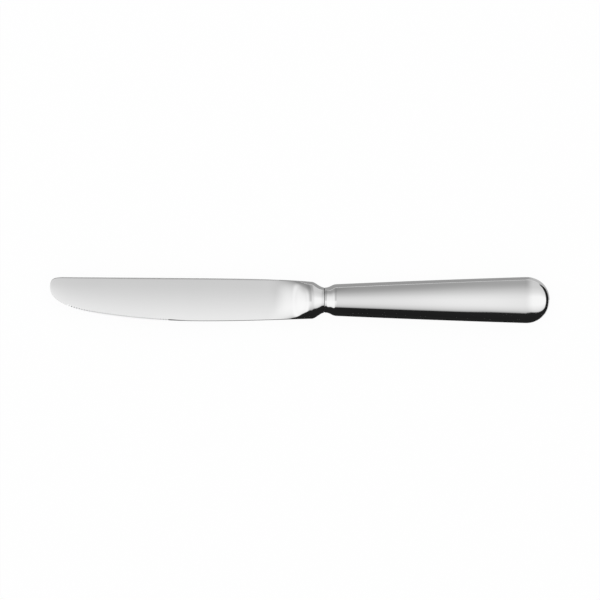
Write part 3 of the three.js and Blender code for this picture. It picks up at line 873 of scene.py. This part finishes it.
def tent_material(radius):
    """Light tent seen only in the steel: painted reflections, apart over blade and handle, brighter
    at its ends, with a painted dark band on the edge's side.
    """
    material, tree = new_material("studio light tent")
    place = add_node(tree, "ShaderNodeTexCoord").node.outputs["Object"]
    x, y, z = add_node(tree, "ShaderNodeSeparateXYZ", {"Vector": place}).node.outputs
    lean = add_node(tree, MATH, {0: y, 1: z}, operation="ARCTAN2")
    along = add_node(tree, MAP_RANGE, {"Value": x, "From Min": -radius, "From Max": radius})
    spread, level, at_end = (add_node(tree, "ShaderNodeValToRGB", {"Fac": along}) for _ in range(3))
    for ramp, stops in ((spread, SPREAD_TENT), (level, ALONG_TENT), (at_end, END_SHARE)):
        fill_ramp(ramp, stops, -radius, radius)
    turned = add_node(tree, MATH, {0: lean, 1: spread}, operation="MULTIPLY")
    across = add_node(tree, MAP_RANGE,
                      {"Value": turned, "From Min": -math.pi / 2, "From Max": math.pi / 2})
    colours = []
    for stops in (BLADE_TENT, HANDLE_TENT, TIP_END_TENT, BUTT_END_TENT):
        colours.append(add_node(tree, "ShaderNodeValToRGB", {"Fac": across}))
        fill_ramp(colours[-1], stops, -90, 90)
    blade, plain_handle, tip_end, butt_end = colours
    over_handle = add_node(tree, MAP_RANGE, {
        "Value": x, "From Min": SWITCH_TENT[0], "From Max": SWITCH_TENT[1],
    })
    beyond_middle = add_node(tree, MATH, {0: x, 1: 0}, operation="GREATER_THAN")
    handle = add_node(tree, "ShaderNodeMix", {0: 1, MIX_FIRST: plain_handle, MIX_SECOND: level},
                      data_type="RGBA", blend_type="MULTIPLY").node.outputs[MIX_COLOUR]
    middle = add_node(tree, "ShaderNodeMix", {0: over_handle, MIX_FIRST: blade, MIX_SECOND: handle},
                      data_type="RGBA").node.outputs[MIX_COLOUR]
    end = add_node(tree, "ShaderNodeMix",
                   {0: beyond_middle, MIX_FIRST: tip_end, MIX_SECOND: butt_end},
                   data_type="RGBA").node.outputs[MIX_COLOUR]
    colour = add_node(tree, "ShaderNodeMix", {0: at_end, MIX_FIRST: middle, MIX_SECOND: end},
                      data_type="RGBA").node.outputs[MIX_COLOUR]
    return shine(material, tree, colour, TENT_GAIN)


def seen_rays(tree):
    """Gives 1 for rays that show a thing, straight or in steel or glass, and 0 for the rest."""
    rays = add_node(tree, "ShaderNodeLightPath").node.outputs
    straight = add_node(tree, MATH, {0: rays["Is Camera Ray"], 1: rays["Is Glossy Ray"]})
    return add_node(tree, MATH, {0: straight, 1: rays["Is Transmission Ray"]})


def floor_material(hex_colour):
    """White seamless paper: it stays white to the camera and in the steel, with a soft shadow."""
    material, tree = new_material("white seamless paper")
    paper = add_node(tree, "ShaderNodeBsdfDiffuse", {"Color": linear(hex_colour)})
    glow = add_node(tree, "ShaderNodeEmission", {"Strength": 1})
    part = add_node(tree, MATH, {0: seen_rays(tree), 1: PAPER_GLOW}, operation="MULTIPLY")
    both = add_node(tree, "ShaderNodeMixShader", {0: part, 1: paper, 2: glow})
    add_node(tree, "ShaderNodeOutputMaterial", {"Surface": both})
    return material


def stage_piece(name, points, faces, material, seen_only_in_steel=True):
    piece = new_object(name, points, faces)
    piece.data.materials.append(material)
    if seen_only_in_steel:
        for ray in ("camera", "diffuse", "transmission", "volume_scatter", "shadow"):
            setattr(piece, "visible_" + ray, False)


def card(name, points, hex_colour):
    """Flat card that glows in one plain tone and is seen only in the steel: a painted reflection.
    """
    matt = shine(*new_material(name), linear(hex_colour), 1)
    stage_piece(name, points, [range(len(points))], matt)


def tent_dome(radius):
    """Corners and faces of a dome of even facets down to the floor."""
    points, faces = [(0, 0, radius)], []
    for i in range(1, DOME_RINGS + 1):
        height = math.pi / 2 * (1 - i / DOME_RINGS)
        for k in range(DOME_SECTORS):
            way = 2 * math.pi * k / DOME_SECTORS
            points.append((
                radius * math.cos(height) * math.cos(way),
                radius * math.cos(height) * math.sin(way),
                radius * math.sin(height),
            ))
    for k in range(DOME_SECTORS):
        after = (k + 1) % DOME_SECTORS
        faces.append((0, 1 + after, 1 + k))
        for i in range(DOME_RINGS - 1):
            upper = 1 + i * DOME_SECTORS
            lower = upper + DOME_SECTORS
            faces.append((upper + k, upper + after, lower + after, lower + k))
    return points, faces


# Operators

class DessertKnifeMakeStage(bpy.types.Operator):
    """Makes the floor, the light tent, the lamp and the camera"""

    bl_idname = "dessert_knife.make_stage"
    bl_label = "Stage"

    def execute(self, context):
        scene = context.scene
        studio = scene.knife_studio
        scene.view_settings.view_transform = "Standard"
        floor = -studio.floor_drop
        reach = studio.floor_reach
        corners = [(x * reach, y * reach, floor) for x, y in ((-1, -1), (1, -1), (1, 1), (-1, 1))]
        stage_piece("floor", corners, [range(4)], floor_material(studio.floor_colour), False)
        stage_piece("light_tent", *tent_dome(studio.tent_radius), tent_material(studio.tent_radius))
        butt = seam_high.x
        # Floor cards that glow in their tone and paint dark and grey reflections into the steel
        for name, (shade, level, corners) in REFLECTION_CARDS.items():
            height = floor + level * studio.card_step
            card(name, [(butt + x, y, height) for x, y in corners], shade)
        # Standing card past the butt that glows dark, seen only in the steel: a painted dark
        # reflection
        card("butt_reflection_card", [(butt + STANDING_CARD_GAP, y, z) for y, z in STANDING_CARD_CORNERS], DARK_REFLECTION_CARD)
        self.light(scene)
        self.aim_camera(scene, studio)
        return {"FINISHED"}

    def light(self, scene):
        world = bpy.data.worlds.new("plain white room")
        scene.world = world
        world.use_nodes = True
        tree = world.node_tree
        tree.nodes.clear()
        level = add_node(tree, MAP_RANGE, {"Value": seen_rays(tree), "To Min": ROOM_LEVEL})
        sky = add_node(tree, "ShaderNodeBackground", {"Color": (1, 1, 1, 1), "Strength": level})
        add_node(tree, "ShaderNodeOutputWorld", {"Surface": sky})
        lamp = bpy.data.lights.new("soft_box", "AREA")
        lamp.size = LAMP_SIZE
        lamp.energy = LAMP_ENERGY
        soft_box = bpy.data.objects.new("soft_box", lamp)
        x, y, z = LAMP_PLACE
        soft_box.location = LAMP_PLACE
        soft_box.rotation_euler = (-math.atan2(y, z), math.atan2(x, z), 0)
        soft_box.visible_glossy = False
        scene.collection.objects.link(soft_box)

    def aim_camera(self, scene, studio):
        lens = bpy.data.cameras.new("camera")
        lens.sensor_width = SENSOR_WIDTH
        lens.lens = lens.sensor_width * studio.camera_height / studio.frame_width
        lens.clip_start = CLIP_START
        lens.clip_end = 2 * studio.floor_reach
        camera = bpy.data.objects.new("camera", lens)
        camera.location = (studio.frame_shift, 0, studio.camera_height)
        scene.collection.objects.link(camera)
        scene.camera = camera


class DessertKnifeMakeBlade(bpy.types.Operator):
    """Makes the forged blade with its bolster, front neck and saw teeth"""

    bl_idname = "dessert_knife.make_blade"
    bl_label = "Blade"

    def execute(self, context):
        scene = context.scene
        blade, finish = scene.knife_blade, scene.knife_finish
        steel = polished_steel("buffed martensitic steel", finish.blade_steel,
                               finish.line_gap, finish.blade_line_depth, finish.blade_roughness)
        piece = blade_body(blade, scene.knife_neck, scene.knife_tang)
        modifier = piece.modifiers.new("teeth", "NODES")
        modifier.node_group = tooth_tree()
        set_inputs(modifier, pitch=blade.tooth_pitch, depth=blade.tooth_depth,
                   gullet_share=blade.gullet_share, steel=steel,
                   cutter_length=CUTTER_REACH * blade.edge_thickness)
        settle(piece)
        seat(piece, "blade", steel)
        return {"FINISHED"}


class DessertKnifeMakeHandle(bpy.types.Operator):
    """Makes the two pressed half shells of the handle and the braze between them"""

    bl_idname = "dessert_knife.make_handle"
    bl_label = "Handle"

    def execute(self, context):
        finish = context.scene.knife_finish
        steel = polished_steel("mirror polished austenitic steel", finish.handle_steel,
                               finish.line_gap, finish.handle_line_depth, finish.handle_roughness)
        section = section_tree()
        shell = shell_tree(section)
        upper = handle_piece("handle_skin_upper", shell, 1.0, steel)
        seat(upper, "handle_shell_upper", steel)
        lower = handle_piece("handle_skin_lower", shell, -1.0, steel)
        seat(lower, "handle_shell_lower", steel)
        braze = ground_braze(finish.braze)
        strip = handle_piece("seam_braze_line", braze_tree(section), 1.0, braze)
        seat(strip, "seam_braze", braze)
        return {"FINISHED"}


class DessertKnifeDressCement(bpy.types.Operator):
    """Gives the cast cement in the neck its own finish"""

    bl_idname = "dessert_knife.dress_cement"
    bl_label = "Cement"

    def execute(self, context):
        finish = context.scene.knife_finish
        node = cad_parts["tang_cement"]
        node.material_slots[0].material = cast_cement(finish.cement, finish.cement_grain)
        return {"FINISHED"}


class DessertKnifePanel(bpy.types.Panel):
    """Lists the knife's pieces and its stage in the sidebar"""

    bl_idname = "VIEW3D_PT_dessert_knife"
    bl_label = "Dessert Knife"
    bl_space_type = "VIEW_3D"
    bl_region_type = "UI"
    bl_category = "Knife"

    def draw(self, context):
        scene = context.scene
        for operator in OPERATORS:
            self.layout.operator(operator.bl_idname)
        for group, kind in SETTINGS.items():
            box = self.layout.box()
            for name in kind.__annotations__:
                box.prop(getattr(scene, group), name)


SETTINGS = {
    "knife_blade": DessertKnifeBlade,
    "knife_neck": DessertKnifeNeck,
    "knife_handle": DessertKnifeHandle,
    "knife_tang": DessertKnifeTang,
    "knife_finish": DessertKnifeFinish,
    "knife_studio": DessertKnifeStudio,
}
OPERATORS = (
    DessertKnifeMakeStage,
    DessertKnifeMakeBlade,
    DessertKnifeMakeHandle,
    DessertKnifeDressCement,
)


def register():
    for name, group in SETTINGS.items():
        bpy.utils.register_class(group)
        setattr(bpy.types.Scene, name, bpy.props.PointerProperty(type=group))
    for operator in OPERATORS:
        bpy.utils.register_class(operator)
    bpy.utils.register_class(DessertKnifePanel)


def unregister():
    bpy.utils.unregister_class(DessertKnifePanel)
    for operator in reversed(OPERATORS):
        bpy.utils.unregister_class(operator)
    for name, group in SETTINGS.items():
        delattr(bpy.types.Scene, name)
        bpy.utils.unregister_class(group)


def main():
    register()
    bpy.ops.dessert_knife.make_stage()
    bpy.ops.dessert_knife.make_blade()
    bpy.ops.dessert_knife.make_handle()
    bpy.ops.dessert_knife.dress_cement()


if __name__ == "__main__":
    main()
